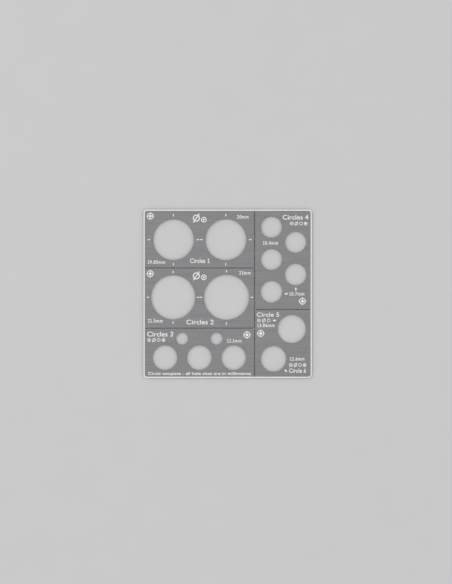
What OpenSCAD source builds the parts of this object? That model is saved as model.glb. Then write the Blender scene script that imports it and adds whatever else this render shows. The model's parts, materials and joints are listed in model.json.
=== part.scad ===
// Circle template etched from thin steel sheet: five stencils in one square,
// parted by through-etched seams and held together by small tabs.
// The sheet lies flat on its underside, +Y towards its top edge, +Z out of the marked face.

/* [Sheet] */
// Side of the square sheet
sheet_w = 81; // [81:0.5:84]
// Thickness of the steel
sheet_t = 0.3; // [0.2:0.05:0.5]
// Radius of the sheet's corners
corner_r = 1.5; // [1:0.25:3]
// Width of the half-etched border
rim_w = 0.5; // [0.3:0.05:0.5]
// Part of the thickness that is left under half-etched marks and at the border
etched_share = 0.5; // [0.4:0.05:0.7]

/* [Seams and tabs] */
// Width of a seam
seam_w = 0.35; // [0.3:0.05:0.4]
// Place of the upright seam, right of the centre
upright_x = 12.95; // [12.9:0.05:13.1]
// Height of the seam between the 20 mm and 22 mm stencils
upper_y = 12.4; // [12.2:0.05:12.6]
// Height of the seam between the 22 mm and 12 mm stencils
lower_y = -16.6; // [-16.8:0.05:-16.4]
// Height of the seam between the 10 mm and 13 mm stencils
right_y = -7.6; // [-8:0.05:-6]
// Width of a tab part-way along a seam
tab_w = 0.4; // [0.3:0.05:0.8]
// Width of the tab at a seam's inner end, next to the upright seam
inner_tab_w = 0.45; // [0.3:0.05:0.8]
// Width of the wide tabs at the sheet's bottom and right edges
wide_tab_w = 0.8; // [0.6:0.05:1.2]
// Radius of the fold groove under a full-thickness tab
groove_r = 0.1; // [0.05:0.01:0.12]
// Play between a tab that is parted at one end and the stencil it faces
parted_gap = 0.05; // [0.03:0.01:0.1]

/* [Hole diameters] */
// Left hole of the 20 mm stencil
hole_20_left = 19.85; // [19:0.05:20.5]
// Right hole of the 20 mm stencil
hole_20_right = 20; // [19:0.05:20.5]
// Left hole of the 22 mm stencil
hole_22_left = 21.5; // [20:0.05:22]
// Right hole of the 22 mm stencil
hole_22_right = 22; // [20:0.05:22]
// Row of three large holes in the 12 mm stencil
hole_12 = 12.1; // [10:0.05:13]
// Two small holes above that row
hole_6 = 6.1; // [4:0.05:6.5]
// Upper three holes of the 10 mm stencil
hole_10_small = 10.4; // [9:0.05:10.8]
// Lower two holes of the 10 mm stencil
hole_10_large = 10.7; // [9:0.05:10.8]
// Upper hole of the 13 mm stencil
hole_13_large = 13.86; // [12:0.01:14]
// Lower hole of the 13 mm stencil
hole_13_small = 12.6; // [11:0.05:13]

/* [Marks] */
// Length of a centring tick
tick_len = 1.2; // [0.8:0.1:1.2]
// Width of a centring tick
tick_w = 0.45; // [0.3:0.05:0.6]
// Length of an arrow
arrow_len = 1.6; // [1:0.1:1.8]

/* [Hidden] */
$fn = 96;

half = sheet_w / 2;
rim_in = half - rim_w;
etched_t = sheet_t * etched_share;
half_seam = seam_w / 2;
past = 1;

upright_left = upright_x - half_seam;
upright_right = upright_x + half_seam;
wide_in = half - wide_tab_w;

// Middle tabs: one halfway along each left seam, one part-way down each length of the upright seam
left_tab_x = -13.55;
top_tab_y = 18.6;
bottom_tab_y = -14;

// Holes as [x, y, diameter], with the ticks' distances beside and above the centre where it has any
pair_20 = [[-26.15, 26.05, hole_20_left, 11.8, 11.8], [-0.9, 26.05, hole_20_right, 11.8, 11.8]];
pair_22 = [[-26.3, -1.7, hole_22_left, 12.05, 12.15], [-0.6, -1.7, hole_22_right, 12.2, 12.55]];

row_x = -13.7;
row_pitch = 16.55;
row_12 = [for (i = [-1:1]) [row_x + i * row_pitch, -30.8, hole_12]];
row_6 = [for (i = [-0.5, 0.5]) [row_x + i * row_pitch, -21.65, hole_6]];

stack_pitch = 15.55;
stack_left = [for (i = [0:2]) [21.05, 32.05 - i * stack_pitch, i < 2 ? hole_10_small : hole_10_large]];
stack_right = [for (i = [0:1]) [32.7, 24.8 - i * stack_pitch, i < 1 ? hole_10_small : hole_10_large]];

pair_13 = [[30.85, -17, hole_13_large], [22.05, -31.35, hole_13_small]];

// Arrows as [x, y, the way they point in degrees from +X]
arrows_10 = [[32.85, 2.3, 90], [28.1, 0, 180]];
arrows_13 = [[22.6, -12.85, 0], [27.95, -37.05, 135]];

// A square plate with round corners, standing on z = 0
module rounded_plate(width, radius, height) {
    straight = width - 2 * radius;
    linear_extrude(height) {
        square([width, straight], center = true);
        square([straight, width], center = true);
        for (sx = [-1, 1], sy = [-1, 1])
            translate([sx * straight / 2, sy * straight / 2]) circle(radius);
    }
}

// The whole sheet before its seams are cut: full thickness inside a half-etched border
module blank() {
    rounded_plate(sheet_w, corner_r, etched_t);
    rounded_plate(2 * rim_in, corner_r - rim_w, sheet_t);
}

module region(west, east, south, north) {
    intersection() {
        blank();
        translate([west, south, -past]) cube([east - west, north - south, sheet_t + 2 * past]);
    }
}

// Half-etched marks are this solid, cut down to etched_t
module mark_depth() {
    translate([0, 0, etched_t]) linear_extrude(sheet_t) children();
}

module ticks(hole) {
    for (side = [-1, 1]) {
        translate([hole[0] + side * hole[3], hole[1]]) square([tick_len, tick_w], center = true);
        translate([hole[0], hole[1] + side * hole[4]]) square([tick_w, tick_len], center = true);
    }
}

module arrow(place) {
    tip = arrow_len / 2;
    half_head = arrow_len * 0.375;
    half_shaft = half_head / 2;
    translate([place[0], place[1]]) rotate(place[2])
        polygon([[-tip, -half_shaft], [0, -half_shaft], [0, -half_head], [tip, 0],
                 [0, half_head], [0, half_shaft], [-tip, half_shaft]]);
}

module stencil(west, east, south, north, holes, arrows = []) {
    color("gray") difference() {
        region(west, east, south, north);
        for (hole = holes) {
            translate([hole[0], hole[1], -past]) cylinder(d = hole[2], h = sheet_t + 2 * past);
            if (len(hole) > 3) mark_depth() ticks(hole);
        }
        for (place = arrows) mark_depth() arrow(place);
    }
}

module stencil_20mm() {
    stencil(-half, upright_left, upper_y + half_seam, half, pair_20);
}

module stencil_22mm() {
    stencil(-half, upright_left, lower_y + half_seam, upper_y - half_seam, pair_22);
}

module stencil_12mm() {
    stencil(-half, upright_left, -half, lower_y - half_seam, concat(row_12, row_6));
}

module stencil_10mm() {
    stencil(upright_right, half, right_y + half_seam, half, concat(stack_left, stack_right), arrows_10);
}

module stencil_13mm() {
    stencil(upright_right, half, -half, right_y - half_seam, pair_13, arrows_13);
}

// A tab across a level seam from x = west to x = east; a full-thickness one has a fold groove underneath
module level_tab(y, west, east, grooved = true) {
    color("gray") difference() {
        region(west, east, y - half_seam, y + half_seam);
        if (grooved)
            translate([west - past, y, 0]) rotate([0, 90, 0])
                cylinder(r = groove_r, h = east - west + 2 * past);
    }
}

// A tab across the upright seam from y = south to y = north; gap parts it from the stencil on its left
module upright_tab(south, north, gap = 0, grooved = true) {
    color("gray") difference() {
        region(upright_left + gap, upright_right, south, north);
        if (grooved)
            translate([upright_x, north + past, 0]) rotate([90, 0, 0])
                cylinder(r = groove_r, h = north - south + 2 * past);
    }
}

module tab_20_22_edge() { level_tab(upper_y, -half, -rim_in, grooved = false); }
module tab_20_22_middle() { level_tab(upper_y, left_tab_x - tab_w / 2, left_tab_x + tab_w / 2); }
module tab_20_22_inner() { level_tab(upper_y, upright_left - inner_tab_w, upright_left); }
module tab_22_12_edge() { level_tab(lower_y, -half, -rim_in, grooved = false); }
module tab_22_12_middle() { level_tab(lower_y, left_tab_x - tab_w / 2, left_tab_x + tab_w / 2); }
module tab_22_12_inner() { level_tab(lower_y, upright_left - inner_tab_w, upright_left); }
module tab_20_10_edge() { upright_tab(rim_in, half, grooved = false); }
module tab_20_10_middle() { upright_tab(top_tab_y - tab_w / 2, top_tab_y + tab_w / 2); }
module tab_22_13_middle() {
    upright_tab(bottom_tab_y - tab_w / 2, bottom_tab_y + tab_w / 2, gap = parted_gap);
}
module tab_12_13_edge() { upright_tab(-half, -wide_in, gap = parted_gap, grooved = false); }
module tab_10_13_inner() { level_tab(right_y, upright_right, upright_right + inner_tab_w); }
module tab_10_13_edge() { level_tab(right_y, wide_in, half, grooved = false); }

stencil_20mm();
stencil_22mm();
stencil_12mm();
stencil_10mm();
stencil_13mm();
tab_20_22_edge();
tab_20_22_middle();
tab_20_22_inner();
tab_22_12_edge();
tab_22_12_middle();
tab_22_12_inner();
tab_20_10_edge();
tab_20_10_middle();
tab_22_13_middle();
tab_12_13_edge();
tab_10_13_inner();
tab_10_13_edge();
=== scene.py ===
"""Looks of an etched steel circle template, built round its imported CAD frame.

The sheet's lengths are millimetres in the frame's own axes, and MM turns them into metres. The
studio's lengths are metres.
"""

import json
import math

import bpy
import numpy as np
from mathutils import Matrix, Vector
from mathutils.geometry import delaunay_2d_cdt


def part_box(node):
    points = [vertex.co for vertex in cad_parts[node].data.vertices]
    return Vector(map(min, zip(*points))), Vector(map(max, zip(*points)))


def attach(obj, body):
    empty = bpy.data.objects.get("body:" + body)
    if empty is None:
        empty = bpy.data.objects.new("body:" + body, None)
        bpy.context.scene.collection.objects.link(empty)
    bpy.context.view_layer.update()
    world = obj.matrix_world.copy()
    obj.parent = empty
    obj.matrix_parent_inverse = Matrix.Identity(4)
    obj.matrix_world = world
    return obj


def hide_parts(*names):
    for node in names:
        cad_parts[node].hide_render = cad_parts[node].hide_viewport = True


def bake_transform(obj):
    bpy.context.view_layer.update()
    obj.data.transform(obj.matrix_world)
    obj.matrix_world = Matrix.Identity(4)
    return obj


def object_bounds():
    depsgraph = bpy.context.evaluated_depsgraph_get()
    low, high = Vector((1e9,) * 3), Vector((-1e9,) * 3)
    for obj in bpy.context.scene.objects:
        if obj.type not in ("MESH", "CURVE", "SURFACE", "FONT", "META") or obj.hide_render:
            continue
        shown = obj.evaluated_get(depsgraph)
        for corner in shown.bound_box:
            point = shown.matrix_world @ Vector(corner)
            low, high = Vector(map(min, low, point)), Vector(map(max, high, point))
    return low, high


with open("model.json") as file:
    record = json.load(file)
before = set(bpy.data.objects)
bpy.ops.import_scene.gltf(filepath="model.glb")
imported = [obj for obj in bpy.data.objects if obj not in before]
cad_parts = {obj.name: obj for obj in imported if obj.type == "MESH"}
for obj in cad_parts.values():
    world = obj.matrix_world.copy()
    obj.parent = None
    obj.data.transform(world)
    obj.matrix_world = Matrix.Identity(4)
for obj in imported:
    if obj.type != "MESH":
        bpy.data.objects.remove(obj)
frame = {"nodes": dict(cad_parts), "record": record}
cad_low, cad_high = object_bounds()

MM = 0.001
DIGITS = 3  # decimals of a millimetre that are kept
SAME = 0.001  # places this near each other are one place
TOUCH = 0.07  # places this near a tab or an edge lie against it: more than a flare or a parted tab's gap

# The sheet
SHEET_W = round((cad_high.x - cad_low.x) / MM, DIGITS)
SHEET_T = round((cad_high.z - cad_low.z) / MM, DIGITS)
HALF = SHEET_W / 2
ETCHED_T = SHEET_T / 2  # what is left under a half-etched mark
RIM_W = 0.5
RIM_LINE = HALF - RIM_W  # from the sheet's middle to its half-etched rim
CORNER_R = 1.5
FLOOR_GAP = 0.6

# Edges that are etched right through
CUSP = 0.06  # how far a cusp stands out half-way up the wall
FADE = 0.15  # the length over which a seam's cusp runs out

# Tabs
FLARE = 0.06  # how much wider a tab is on each side where it joins a stencil
GROOVE_R = 0.1

# Marks and lettering
TICK_LEN = 1.2
TICK_W = 0.45
LINE_W = 0.34
SIGN_R = 0.85
SIGN_LINE_W = 0.28
WEIGHT = 0.05  # how much each side of a letter's stroke is moved out
CELL_SHARE = {"1": 0.8, ".": 0.45, "m": 1.45}  # a character's width in a size, against a figure's
HEIGHT_SHARE = {".": 0.18, "m": 0.72}  # its height, against a figure's
INK_SHARE = 0.8  # how much of its own width a character fills

# How finely curves are drawn
ARC_STEP = 0.35
CIRCLE_STEPS = 40
CORNER_STEPS = 8
LETTER_STEPS = 6
TAB_STEPS = 14
SMOOTH_DEGREES = 35

# How high a stencil's triangle stands, the layers of its corners, and the material slots of a piece
VOID, ETCHED, FULL = 0, 1, 2
TOP, MID, BOTTOM = 0, 1, 2
STEEL, FROST, WALL = 0, 1, 2

# From the frame
STENCILS = [name for name in frame["nodes"] if name.startswith("stencil")]
TABS = [name for name in frame["nodes"] if name.startswith("tab")]
TAB_BOXES = [[np.array(corner[:2]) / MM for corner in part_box(name)] for name in TABS]


# ---------------------------------------------------------------- materials

NOISE_LOW, NOISE_HIGH = 0.3, 0.7  # noise rarely leaves this range


def node_tree(name):
    """A new material with its nodes, its links and its shader."""
    material = bpy.data.materials.new(name)
    material.use_nodes = True
    nodes = material.node_tree.nodes
    shader = nodes["Principled BSDF"]
    return material, nodes, material.node_tree.links, shader


def noise(nodes, links, scale, detail, stretch=(1, 1, 1)):
    """Noise over the piece's own coordinates. An axis with a small stretch has long marks along it."""
    place = nodes.new("ShaderNodeTexCoord")
    mapping = nodes.new("ShaderNodeMapping")
    mapping.inputs["Scale"].default_value = stretch
    texture = nodes.new("ShaderNodeTexNoise")
    texture.inputs["Scale"].default_value = scale
    texture.inputs["Detail"].default_value = detail
    links.new(place.outputs["Object"], mapping.inputs["Vector"])
    links.new(mapping.outputs["Vector"], texture.inputs["Vector"])
    return texture.outputs["Fac"]


def ramp(nodes, links, source, low, high):
    """Takes noise to a colour between low and high."""
    node = nodes.new("ShaderNodeValToRGB")
    node.color_ramp.elements[0].position = NOISE_LOW
    node.color_ramp.elements[1].position = NOISE_HIGH
    node.color_ramp.elements[0].color = (*low, 1)
    node.color_ramp.elements[1].color = (*high, 1)
    links.new(source, node.inputs["Fac"])
    return node.outputs["Color"]


def multiplied(nodes, links, first, second):
    """One colour times another."""
    node = nodes.new("ShaderNodeMix")
    node.data_type = "RGBA"
    node.blend_type = "MULTIPLY"
    node.inputs["Factor"].default_value = 1
    links.new(first, node.inputs["A"])
    links.new(second, node.inputs["B"])
    return node.outputs["Result"]


def map_range(nodes, links, source, low, high):
    """Takes noise to a number between low and high."""
    node = nodes.new("ShaderNodeMapRange")
    node.inputs["From Min"].default_value = NOISE_LOW
    node.inputs["From Max"].default_value = NOISE_HIGH
    node.inputs["To Min"].default_value = low
    node.inputs["To Max"].default_value = high
    links.new(source, node.inputs["Value"])
    return node.outputs["Result"]


def bump(nodes, links, shader, source, depth, strength):
    """Dents depth millimetres deep."""
    node = nodes.new("ShaderNodeBump")
    node.inputs["Distance"].default_value = depth * MM
    node.inputs["Strength"].default_value = strength
    links.new(source, node.inputs["Height"])
    links.new(node.outputs["Normal"], shader.inputs["Normal"])


def brushed_steel():
    """Satin rolled steel: fine grain along X, broader streaks, and faint handling smudges."""
    material, nodes, links, shader = node_tree("satin_steel")
    grain = noise(nodes, links, scale=5200, detail=3, stretch=(0.02, 1, 1))
    streaks = noise(nodes, links, scale=900, detail=4, stretch=(0.03, 1, 1))
    smudges = noise(nodes, links, scale=85, detail=5)
    grain_tone = ramp(nodes, links, grain, (0.31, 0.31, 0.315), (0.38, 0.38, 0.38))
    streak_tone = ramp(nodes, links, streaks, (0.93, 0.93, 0.935), (1, 1, 1))
    smudge_tone = ramp(nodes, links, smudges, (0.92, 0.925, 0.935), (1, 1, 0.995))
    tone = multiplied(nodes, links, grain_tone, streak_tone)
    tone = multiplied(nodes, links, tone, smudge_tone)
    links.new(tone, shader.inputs["Base Color"])
    links.new(map_range(nodes, links, smudges, low=0.48, high=0.36), shader.inputs["Roughness"])
    shader.inputs["Metallic"].default_value = 1
    bump(nodes, links, shader, grain, depth=0.004, strength=0.5)
    return material


def frosted_steel():
    """The floor of a half-etched mark: pale, matt and finely pitted."""
    material, nodes, links, shader = node_tree("frosted_steel")
    pits = noise(nodes, links, scale=9000, detail=4)
    clouds = noise(nodes, links, scale=700, detail=3)
    pit_tone = ramp(nodes, links, pits, (0.88, 0.88, 0.875), (0.97, 0.97, 0.965))
    cloud_tone = ramp(nodes, links, clouds, (0.95, 0.95, 0.955), (1, 1, 1))
    links.new(multiplied(nodes, links, pit_tone, cloud_tone), shader.inputs["Base Color"])
    links.new(map_range(nodes, links, pits, low=0.85, high=0.65), shader.inputs["Roughness"])
    shader.inputs["Metallic"].default_value = 0
    bump(nodes, links, shader, pits, depth=0.01, strength=0.6)
    return material


def etched_wall_with_painted_shade():
    """The side of a through-etched edge: rougher than the rolled face, and darker, partly its own etched tone
    and partly painted shade that makes the seams between stencils read dark.
    """
    material, nodes, links, shader = node_tree("etched_wall_steel_with_painted_shade")
    pits = noise(nodes, links, scale=7000, detail=3, stretch=(1, 1, 0.4))
    # This dark range is partly painted shade: it is set low so that the seams between stencils read dark.
    tone = ramp(nodes, links, pits, (0.11, 0.107, 0.105), (0.19, 0.187, 0.185))
    links.new(tone, shader.inputs["Base Color"])
    links.new(map_range(nodes, links, pits, low=0.68, high=0.5), shader.inputs["Roughness"])
    shader.inputs["Metallic"].default_value = 1
    bump(nodes, links, shader, pits, depth=0.01, strength=0.7)
    return material


def pale_floor():
    """Matt card with the faintest clouding."""
    material, nodes, links, shader = node_tree("pale_floor")
    fibres = noise(nodes, links, scale=60, detail=4)
    tone = ramp(nodes, links, fibres, (0.61, 0.61, 0.613), (0.62, 0.62, 0.62))
    links.new(tone, shader.inputs["Base Color"])
    shader.inputs["Roughness"].default_value = 0.9
    return material


MATERIALS = [brushed_steel(), frosted_steel(), etched_wall_with_painted_shade()]


# ---------------------------------------------------------------- flat shapes

# A mark is the edges of one or more closed loops. The functions that draw give a list of marks.


def arc(x, y, radius, start, end, steps):
    """Points on an arc, its angles in degrees, ends included."""
    angles = [math.radians(start + (end - start) * i / steps) for i in range(steps + 1)]
    return [(x + radius * math.cos(a), y + radius * math.sin(a)) for a in angles]


def circle(x, y, radius):
    steps = max(CIRCLE_STEPS, round(2 * math.pi * radius / ARC_STEP))
    return arc(x, y, radius, 0, 360 - 360 / steps, steps - 1)


def closed(points):
    """A loop as a list of edges, each a pair of points."""
    return list(zip(points, points[1:] + points[:1]))


def disc(x, y, radius):
    return [closed(circle(x, y, radius))]


def ring(x, y, radius, width):
    """A ring with its width inside its radius."""
    return [closed(circle(x, y, radius)) + closed(circle(x, y, radius - width)[::-1])]


def turned(points, x, y, degrees):
    """Points turned round the origin, which then moves to x, y."""
    c, s = math.cos(math.radians(degrees)), math.sin(math.radians(degrees))
    return [(x + px * c - py * s, y + px * s + py * c) for px, py in points]


def bar(x, y, length, width, degrees=0):
    """A bar with its middle at x, y."""
    a, b = length / 2, width / 2
    corners = [(-a, -b), (a, -b), (a, b), (-a, b)]
    return [closed(turned(corners, x, y, degrees))]


def arrow(x, y, degrees):
    """A short arrow with its middle at x, y, pointing degrees from +X."""
    tip, half_head, half_shaft = 0.8, 0.6, 0.3
    shape = [(-tip, -half_shaft), (0, -half_shaft), (0, -half_head), (tip, 0),
             (0, half_head), (0, half_shaft), (-tip, half_shaft)]
    return [closed(turned(shape, x, y, degrees))]


def mitred(out):
    """From the outward directions of each corner's two edges, added up, the step that moves both out by 1."""
    return out * (2 / np.maximum((out**2).sum(1), 1))[:, None]


def thickened(loop):
    """A letter's loop moved away from the ink on its left, to make the stroke heavier."""
    run = np.roll(loop, -1, 0) - loop
    out = np.stack([run[:, 1], -run[:, 0]], 1) / np.linalg.norm(run, axis=1)[:, None]
    return loop + WEIGHT * mitred(out + np.roll(out, 1, 0))


def words(text, left, bottom, width, height):
    """The outline of a line of the built-in font, fitted to a box."""
    curve = bpy.data.curves.new("words", "FONT")
    curve.body = text
    curve.resolution_u = LETTER_STEPS
    curve.fill_mode = "NONE"
    holder = bpy.data.objects.new("words", curve)
    bpy.context.scene.collection.objects.link(holder)
    bpy.context.view_layer.update()
    depsgraph = bpy.context.evaluated_depsgraph_get()
    mesh = bpy.data.meshes.new_from_object(holder.evaluated_get(depsgraph))
    at = np.array([v.co[:2] for v in mesh.vertices])
    low, high = at.min(0), at.max(0)
    room = np.array((width, height)) - 2 * WEIGHT
    at = (at - low) / (high - low) * room + (left + WEIGHT, bottom + WEIGHT)
    edges = []
    for edge in mesh.edges:
        # Only the edge that closes a loop runs backwards, from the loop's last corner to its first.
        last, first = edge.vertices
        if last > first:
            edges += closed([tuple(point) for point in thickened(at[first:last + 1])])
    bpy.data.objects.remove(holder)
    bpy.data.meshes.remove(mesh)
    bpy.data.curves.remove(curve)
    return [edges]


def one(left, bottom, width, height):
    """The figure 1 with a flag and a foot."""
    stroke = 0.16 * height
    stem_left, stem_right = (width - stroke) / 2, (width + stroke) / 2
    shape = [(0, 0), (width, 0), (width, stroke), (stem_right, stroke), (stem_right, height),
             (stem_left, height), (0, height - 1.4 * stroke), (0, height - 2.5 * stroke),
             (stem_left, height - 1.5 * stroke), (stem_left, stroke), (0, stroke)]
    return [closed([(left + x, bottom + y) for x, y in shape])]


def size_mark(text, left, bottom, width, height):
    """A size set one character at a time, in cells that share out the width."""
    shares = [CELL_SHARE.get(character, 1) for character in text]
    cell = width / sum(shares)
    marks = []
    for character, share in zip(text, shares):
        wide = share * cell * INK_SHARE
        if character == "1":
            marks += one(left, bottom, wide, height)
        else:
            marks += words(character, left, bottom, wide, height * HEIGHT_SHARE.get(character, 1))
        left += share * cell
    return marks


def ticks(hole, beside, above):
    """Four centring ticks, this far beside and above the hole's middle."""
    x, y, _ = hole
    marks = []
    for side in (-1, 1):
        marks += bar(x + side * beside, y, TICK_LEN, TICK_W)
        marks += bar(x, y + side * above, TICK_LEN, TICK_W, 90)
    return marks


def centre_mark(x, y):
    """A drafting target: a ring, a dot, and four short bars that cross the ring."""
    marks = ring(x, y, radius=1.6, width=0.4) + disc(x, y, radius=0.7)
    for degrees in (0, 90, 180, 270):
        bar_x, bar_y = turned([(1.45, 0)], x, y, degrees)[0]
        marks += bar(bar_x, bar_y, 0.95, LINE_W, degrees)
    return marks


def diameter_sign(x, y, radius, width):
    return ring(x, y, radius, width) + bar(x, y, 3 * radius, width, 55)


def dotted_ring(x, y, radius, width):
    return ring(x, y, radius, width) + disc(x, y, 0.35 * radius)


def crossed_ring(x, y, radius, width):
    return ring(x, y, radius, width) + bar(x, y, 2 * radius, width) + bar(x, y, 2 * radius, width, 90)


def title_signs(x, y):
    """The two large signs at the top of a stencil: a dotted ring, and a diameter sign on its left."""
    marks = diameter_sign(x - 3.6, y + 0.7, radius=1.7, width=0.5)
    marks += dotted_ring(x, y, radius=1.35, width=0.42)
    return marks


def sign_row(left, y, pitch, count=4):
    """Small drafting signs side by side."""
    signs = (dotted_ring, diameter_sign, ring, crossed_ring)
    marks = []
    for i, sign in enumerate(signs[:count]):
        marks += sign(left + SIGN_R + i * pitch, y, SIGN_R, SIGN_LINE_W)
    return marks


# ---------------------------------------------------------------- the marks of each stencil


def holes_in(node):
    """The round holes that the record states inside a stencil's box, as (x, y, radius)."""
    low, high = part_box(node)
    found = []
    for mount in frame["record"]["mounts"]:
        x, y, _ = mount["pos_m"]
        if mount["kind"] == "bore" and low.x < x < high.x and low.y < y < high.y:
            found.append((x / MM, y / MM, mount["dims"]["r_mm"]))
    return found


def marks_20mm():
    left_hole, right_hole = holes_in("stencil_20mm")
    marks = centre_mark(-37.3, 37.4)
    marks += ticks(left_hole, beside=11.8, above=11.8)
    marks += ticks(right_hole, beside=11.8, above=11.8)
    marks += title_signs(-11.5, 35.7)
    marks += size_mark("20mm", left=4.5, bottom=36.15, width=5.9, height=1.75)
    marks += size_mark("19.85mm", left=-38.4, bottom=14.35, width=8.6, height=1.8)
    marks += words("Circles", left=-18.1, bottom=14.8, width=7.3, height=2.2)
    marks += one(left=-9.7, bottom=14.8, width=1.1, height=2.1)
    return marks


def marks_22mm():
    left_hole, right_hole = holes_in("stencil_22mm")
    marks = centre_mark(-37.3, 9.65)
    marks += ticks(left_hole, beside=12.05, above=12.15)
    marks += ticks(right_hole, beside=12.2, above=12.55)
    marks += title_signs(-11.5, 7.9)
    marks += size_mark("22mm", left=5.5, bottom=9.2, width=5.9, height=1.75)
    marks += size_mark("21.5mm", left=-38.5, bottom=-13.95, width=7.5, height=1.8)
    marks += words("Circles 2", left=-19.9, bottom=-14.8, width=13.2, height=2.3)
    return marks


def marks_12mm():
    marks = centre_mark(9.3, -19.8)
    marks += words("Circles 3", left=-38.8, bottom=-20.65, width=12.5, height=2.4)
    marks += sign_row(left=-38.7, y=-22.3, pitch=2.3)
    marks += size_mark("12.1mm", left=-0.3, bottom=-23.5, width=7.3, height=1.7)
    line = "Circle template - all hole sizes are in millimetres"
    marks += words(line, left=-38.4, bottom=-39.6, width=49.7, height=1.9)
    return marks


def marks_10mm():
    marks = words("Circles 4", left=26.5, bottom=35.7, width=12.4, height=2.3)
    marks += sign_row(left=30, y=33.8, pitch=2.25)
    marks += size_mark("10.4mm", left=17, bottom=23.6, width=7.6, height=1.75)
    marks += size_mark("10.7mm", left=29.7, bottom=-0.95, width=7.6, height=1.75)
    marks += arrow(32.85, 2.3, degrees=90)
    marks += arrow(28.1, 0, degrees=180)
    marks += centre_mark(36, -3.6)
    return marks


def marks_13mm():
    marks = words("Circle 5", left=14, bottom=-11.1, width=10.8, height=2.1)
    marks += sign_row(left=14.2, y=-12.9, pitch=2.35, count=3)
    marks += arrow(22.6, -12.85, degrees=0)
    marks += size_mark("13.86mm", left=14.2, bottom=-16.1, width=8.7, height=1.75)
    marks += centre_mark(15.9, -19.1)
    marks += size_mark("12.6mm", left=30, bottom=-32.2, width=7.3, height=1.7)
    marks += sign_row(left=29.6, y=-34.35, pitch=2.2)
    marks += arrow(27.95, -37.05, degrees=135)
    marks += words("Circle 6", left=29.5, bottom=-38.1, width=8.3, height=2.1)
    return marks


# ---------------------------------------------------------------- stencils


def inside(points, edges):
    """Which points the loops wind round, by the edges that a ray from each point towards +X crosses."""
    x, y = points[:, 0, None], points[:, 1, None]
    x1, y1, x2, y2 = np.array(edges).reshape(-1, 4).T
    spans = (y1 > y) != (y2 > y)
    rise = np.where(y2 == y1, 1, y2 - y1)
    crossed = spans & (x < x1 + (y - y1) * (x2 - x1) / rise)
    return np.where(crossed, np.sign(y2 - y1), 0).sum(1) != 0


def stencil_outline(box, inset):
    """The stencil's outline, anticlockwise: its box, less inset along the sheet's own edge and corners."""
    low, high = box
    edge = HALF - inset
    x0, x1 = max(low.x / MM, -edge), min(high.x / MM, edge)
    y0, y1 = max(low.y / MM, -edge), min(high.y / MM, edge)
    radius = CORNER_R - inset
    points = []
    corners = ((x1, y1, 1, 1, 0), (x0, y1, -1, 1, 90), (x0, y0, -1, -1, 180), (x1, y0, 1, -1, 270))
    for x, y, sx, sy, start in corners:
        if abs(abs(x) - edge) < SAME and abs(abs(y) - edge) < SAME:
            points += arc(x - sx * radius, y - sy * radius, radius, start, start + 90, CORNER_STEPS)
        else:
            points.append((x, y))
    return [(round(px, DIGITS), round(py, DIGITS)) for px, py in points]


def seam_side(along, level, outward):
    """Where the edge of a face bends along a seam, as (place along the seam, level).

    The edge keeps back from the seam's side, where the cusp lies, except at the rim and at each tab.
    outward is the way from the face to the seam, 1 or -1.
    """
    stops = [(-RIM_LINE, 0), (FADE - RIM_LINE, CUSP), (RIM_LINE - FADE, CUSP), (RIM_LINE, 0)]
    for low, high in TAB_BOXES:
        if low[1 - along] - TOUCH < level < high[1 - along] + TOUCH:
            start, end = low[along] - FLARE, high[along] + FLARE
            stops += [(start - FADE, CUSP), (start, 0), (end, 0), (end + FADE, CUSP)]
    return [(place, level - outward * back) for place, back in sorted(stops)]


def etched_outline(box):
    """The outline of a stencil's faces, which bends along its seams."""
    loop = []
    for a, b in closed(stencil_outline(box, 0)):
        loop.append(a)
        for along in (0, 1):
            level = a[1 - along]
            if level != b[1 - along] or abs(level) > HALF - TOUCH:
                continue
            # Anticlockwise, the upper side runs towards -X and the right-hand one towards +Y.
            falling = a[along] > b[along]
            outward = 1 if falling == (along == 0) else -1
            start, end = sorted((a[along], b[along]))
            bends = seam_side(along, level, outward)
            bends = [bend for bend in bends if start + TOUCH < bend[0] < end - TOUCH]
            for place, where in bends[::-1] if falling else bends:
                loop.append((place, where) if along == 0 else (where, place))
    return loop


def beside_tabs(at):
    """Which points lie against a tab."""
    found = np.zeros(len(at), bool)
    for low, high in TAB_BOXES:
        found |= ((at > low - TOUCH) & (at < high + TOUCH)).all(1)
    return found


def triangulated(groups):
    """Triangles whose sides take in every edge of every group: their corners, and three for each."""
    points, index, edges = [], {}, []
    for group in groups:
        for ends in group:
            pair = []
            for p in ends:
                key = (round(p[0], DIGITS), round(p[1], DIGITS))
                if key not in index:
                    index[key] = len(points)
                    points.append(Vector(key))
                pair.append(index[key])
            if pair[0] != pair[1]:
                edges.append(tuple(pair))
    verts, _, faces = delaunay_2d_cdt(points, edges, [], 0, SAME)[:3]
    at = np.array([v[:] for v in verts])
    tris = np.array([f for f in faces])
    a, b, c = at[tris[:, 0]], at[tris[:, 1]], at[tris[:, 2]]
    turn = (b[:, 0] - a[:, 0]) * (c[:, 1] - a[:, 1]) - (b[:, 1] - a[:, 1]) * (c[:, 0] - a[:, 0])
    tris[turn < 0] = tris[turn < 0][:, ::-1]
    return at, tris


def steel_levels(at, tris, outline, face, holes, marks):
    """How high the steel stands on each triangle: VOID, ETCHED or FULL."""
    centre = at[tris].mean(1)
    level = np.where(inside(centre, face), FULL, ETCHED)
    for mark in marks:
        level[inside(centre, mark)] = ETCHED
    level[~inside(centre, outline)] = VOID
    for hole in holes:
        level[inside(centre, hole)] = VOID
    return level


def walls_between(tris, level):
    """The edges where the height changes, as (start, end, higher level, lower level)."""
    sides = {}
    for (a, b, c), here in zip(tris, level):
        for edge in ((a, b), (b, c), (c, a)):
            sides[edge] = here
    found = []
    for (a, b), here in sides.items():
        there = sides.get((b, a), VOID)
        if here > there:
            found.append((a, b, here, there))
    return found


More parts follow.
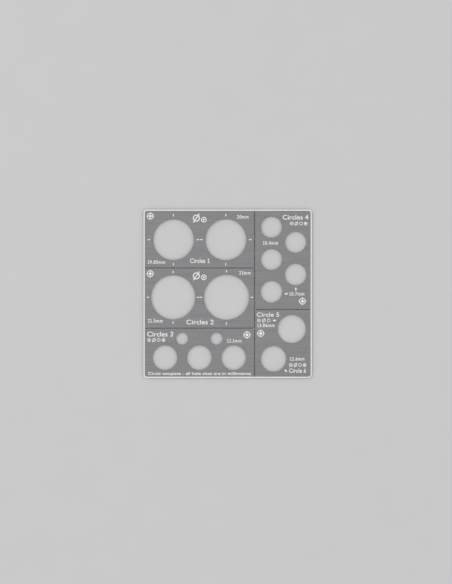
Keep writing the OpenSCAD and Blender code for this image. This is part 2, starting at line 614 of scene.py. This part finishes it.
def cusps(at, tris, level, walls):
    """How far each corner stands out half-way up: none beside a tab or where the steel is half etched."""
    out = np.zeros_like(at)
    for a, b, _, there in walls:
        if there == VOID:
            run = at[b] - at[a]
            across = np.array((run[1], -run[0])) / np.linalg.norm(run)
            out[a] += across
            out[b] += across
    out = mitred(out)
    out[beside_tabs(at)] = 0
    out[tris[level == ETCHED]] = 0
    return out * CUSP


def solid_mesh(name, at, tris, level):
    """Closes the triangles into one solid, with a wall at every change of height."""
    walls = walls_between(tris, level)
    cusp = cusps(at, tris, level, walls)
    z_of = {TOP: SHEET_T, MID: ETCHED_T, BOTTOM: 0}
    keys, coords, faces, kinds = {}, [], [], []

    def vertex(i, layer):
        if (i, layer) not in keys:
            keys[(i, layer)] = len(coords)
            x, y = at[i] + cusp[i] if layer == MID else at[i]
            coords.append((x * MM, y * MM, z_of[layer] * MM))
        return keys[(i, layer)]

    def face(corners, kind):
        faces.append([vertex(i, layer) for i, layer in corners])
        kinds.append(kind)

    for (a, b, c), here in zip(tris, level):
        if here == VOID:
            continue
        layer = TOP if here == FULL else MID
        face([(a, layer), (b, layer), (c, layer)], STEEL if here == FULL else FROST)
        face([(c, BOTTOM), (b, BOTTOM), (a, BOTTOM)], STEEL)
    for a, b, here, there in walls:
        if here == FULL:
            face([(a, MID), (b, MID), (b, TOP), (a, TOP)], WALL if there == VOID else FROST)
        if there == VOID:
            face([(a, BOTTOM), (b, BOTTOM), (b, MID), (a, MID)], WALL)
    return mesh_piece(name, coords, faces, kinds)


def mesh_piece(name, coords, faces, kinds):
    """An object of these faces, each with its material slot, smooth except at sharp edges."""
    mesh = bpy.data.meshes.new(name)
    mesh.from_pydata(coords, [], faces)
    for material in MATERIALS:
        mesh.materials.append(material)
    mesh.polygons.foreach_set("material_index", kinds)
    mesh.shade_smooth()
    mesh.set_sharp_from_angle(angle=math.radians(SMOOTH_DEGREES))
    mesh.validate()
    piece = bpy.data.objects.new(name, mesh)
    bpy.context.scene.collection.objects.link(piece)
    return piece


def make_stencil(node, body, marks):
    """One stencil as a closed mesh, with its rim, marks and holes."""
    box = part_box(node)
    outline = closed(etched_outline(box))
    face = closed(stencil_outline(box, RIM_W))
    holes = [closed(circle(x, y, radius + CUSP)) for x, y, radius in holes_in(node)]
    at, tris = triangulated([outline, face, *holes, *marks])
    level = steel_levels(at, tris, outline, face, holes, marks)
    piece = solid_mesh("etched_" + node, at, tris, level)
    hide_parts(node)
    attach(piece, body)


# ---------------------------------------------------------------- tabs

# A tab spans its seam along one axis, across: 0 for the upright seam, 1 for a level one.


def tab_section(low, high):
    """The tab's section as (place along the seam, height), half as high where it lies in the rim."""
    foot = [(low, 0), (high, 0)]
    if high < SAME - RIM_LINE or low > RIM_LINE - SAME:
        return foot + [(high, ETCHED_T), (low, ETCHED_T)]
    if low < SAME - RIM_LINE:
        return foot + [(high, SHEET_T), (-RIM_LINE, SHEET_T), (-RIM_LINE, ETCHED_T), (low, ETCHED_T)]
    if high > RIM_LINE - SAME:
        return foot + [(high, ETCHED_T), (RIM_LINE, ETCHED_T), (RIM_LINE, SHEET_T), (low, SHEET_T)]
    return foot + [(high, SHEET_T), (low, SHEET_T)]


def is_flush(place, axis):
    """Whether a tab's side lies in line with a stencil's edge or with the rim, and so has no flare."""
    edges = [corner[axis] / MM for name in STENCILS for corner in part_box(name)]
    return any(abs(place - line) < SAME for line in [*edges, -RIM_LINE, RIM_LINE])


def tab_corners(low, high, section, across):
    """The tab's corners, ring after ring from one stencil to the other.

    A tab flares where it joins a stencil, and one of full thickness has a fold groove underneath.
    """
    along = 1 - across
    start, end = low[across], high[across]
    fold, reach = (start + end) / 2, (end - start) / 2
    mid_along = (low[along] + high[along]) / 2
    grooved = max(abs(low[along]), abs(high[along])) < RIM_LINE - SAME
    flush = [is_flush(place, along) for place, _ in section]
    coords = []
    for i in range(TAB_STEPS + 1):
        over = start + (end - start) * i / TAB_STEPS
        flare = FLARE * abs((over - fold) / reach) ** 3
        groove = math.sqrt(max(0, GROOVE_R**2 - (over - fold) ** 2)) if grooved else 0
        for (place, z), straight in zip(section, flush):
            if not straight:
                place += math.copysign(flare, place - mid_along)
            corner = [0, 0, (z or groove) * MM]
            corner[across] = over * MM
            corner[along] = place * MM
            coords.append(tuple(corner))
    return coords


def tab_side_kind(first, second):
    """The material slot of a tab's side between two corners of its section."""
    if first[1] != second[1]:
        return WALL
    return FROST if first[1] == ETCHED_T else STEEL


def make_tab(node, across):
    """One tab as a closed mesh of rings, which is fine enough to bend."""
    low, high = [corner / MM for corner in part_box(node)]
    section = tab_section(low[1 - across], high[1 - across])
    coords = tab_corners(low, high, section, across)
    count = len(section)
    faces, kinds = [], []
    for i in range(TAB_STEPS):
        for k in range(count):
            after = (k + 1) % count
            a, b = i * count + k, i * count + after
            faces.append([a, b, b + count, a + count])
            kinds.append(tab_side_kind(section[k], section[after]))
    faces.append(list(range(count))[::-1])
    faces.append([TAB_STEPS * count + k for k in range(count)])
    kinds += [WALL, WALL]
    if across == 1:
        # With its axes swapped the tab is mirrored, which turns its faces inside out.
        faces = [corners[::-1] for corners in faces]
    piece = mesh_piece("web_" + node, coords, faces, kinds)
    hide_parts(node)
    return piece


def bending_tab(node, across):
    """A tab across a seam, left where the frame puts it and tied to no body. Its ends, from the body above or
    on the left to the other, are worked out but not used.
    """
    piece = make_tab(node, across)
    low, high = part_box(node)
    start, end = (low.x, high.x) if across == 0 else (high.y, low.y)
    first, last = [0, 0, 0], [0, 0, 0]
    first[across], last[across] = start, end
    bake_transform(piece)


def parted_tab(node, body):
    """A tab across the upright seam that stays on one stencil and is parted from the other."""
    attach(make_tab(node, 0), body)


# ---------------------------------------------------------------- studio


def area_light(name, place, size, power, tint=(1, 1, 1)):
    """A round soft light that points at the sheet."""
    light = bpy.data.lights.new(name, "AREA")
    light.shape = "DISK"
    light.size = size
    light.energy = power
    light.color = tint
    lamp = bpy.data.objects.new(name, light)
    lamp.location = place
    lamp.rotation_euler = (-Vector(place)).to_track_quat("-Z", "Y").to_euler()
    bpy.context.scene.collection.objects.link(lamp)


def sky():
    """Soft light from all round: dim overhead, so that the steel reads grey, and bright lower down."""
    world = bpy.data.worlds.new("studio")
    world.use_nodes = True
    nodes, links = world.node_tree.nodes, world.node_tree.links
    place = nodes.new("ShaderNodeTexCoord")
    split = nodes.new("ShaderNodeSeparateXYZ")
    blend = nodes.new("ShaderNodeValToRGB")
    levels = ((0.0, 0.8), (0.3, 0.78), (0.7, 0.74), (0.9, 0.68), (1.0, 0.66))
    stops = blend.color_ramp.elements
    while len(stops) < len(levels):
        stops.new(0.5)  # moved to its height below
    for stop, (height, level) in zip(stops, levels):
        stop.position = height
        stop.color = (level, level, level * 1.015, 1)
    links.new(place.outputs["Generated"], split.inputs["Vector"])
    links.new(split.outputs["Z"], blend.inputs["Fac"])
    links.new(blend.outputs["Color"], nodes["Background"].inputs["Color"])
    nodes["Background"].inputs["Strength"].default_value = 1.0
    bpy.context.scene.world = world


def make_floor():
    """A wide floor a hair below the sheet, which never lies dead flat."""
    reach = 4
    corners = [(-reach, -reach), (reach, -reach), (reach, reach), (-reach, reach)]
    mesh = bpy.data.meshes.new("floor")
    mesh.from_pydata([(x, y, -FLOOR_GAP * MM) for x, y in corners], [], [(0, 1, 2, 3)])
    mesh.materials.append(pale_floor())
    floor = bpy.data.objects.new("floor", mesh)
    bpy.context.scene.collection.objects.link(floor)


def make_studio():
    sky()
    make_floor()
    area_light("key", place=(-1.15, 0.6, 1.2), size=1.4, power=8)
    area_light("fill", place=(1.2, -0.75, 1.2), size=1.5, power=4, tint=(1, 0.985, 0.97))
    bpy.context.scene.view_settings.view_transform = "Standard"


def make_camera():
    """Straight above with a long lens. The sheet is just right of the picture's middle, and just below."""
    view_height = 0.2814
    distance = 1.5
    left, up = 0.8 * MM, 0.83 * MM
    data = bpy.data.cameras.new("camera")
    data.sensor_fit = "VERTICAL"
    data.sensor_height = 36
    data.lens = data.sensor_height * distance / view_height
    camera = bpy.data.objects.new("camera", data)
    camera.location = (-left, up, distance)
    bpy.context.scene.collection.objects.link(camera)
    bpy.context.scene.camera = camera


# ---------------------------------------------------------------- the object

make_camera()
make_studio()

make_stencil("stencil_20mm", "panel_20mm", marks_20mm())
make_stencil("stencil_22mm", "panel_22mm", marks_22mm())
make_stencil("stencil_12mm", "panel_12mm", marks_12mm())
make_stencil("stencil_10mm", "panel_10mm", marks_10mm())
make_stencil("stencil_13mm", "panel_13mm", marks_13mm())

for place in ("edge", "middle", "inner"):
    bending_tab("tab_20_22_" + place, 1)
    bending_tab("tab_22_12_" + place, 1)
for place in ("edge", "middle"):
    bending_tab("tab_20_10_" + place, 0)
for place in ("inner", "edge"):
    bending_tab("tab_10_13_" + place, 1)
parted_tab("tab_22_13_middle", "panel_13mm")
parted_tab("tab_12_13_edge", "panel_13mm")
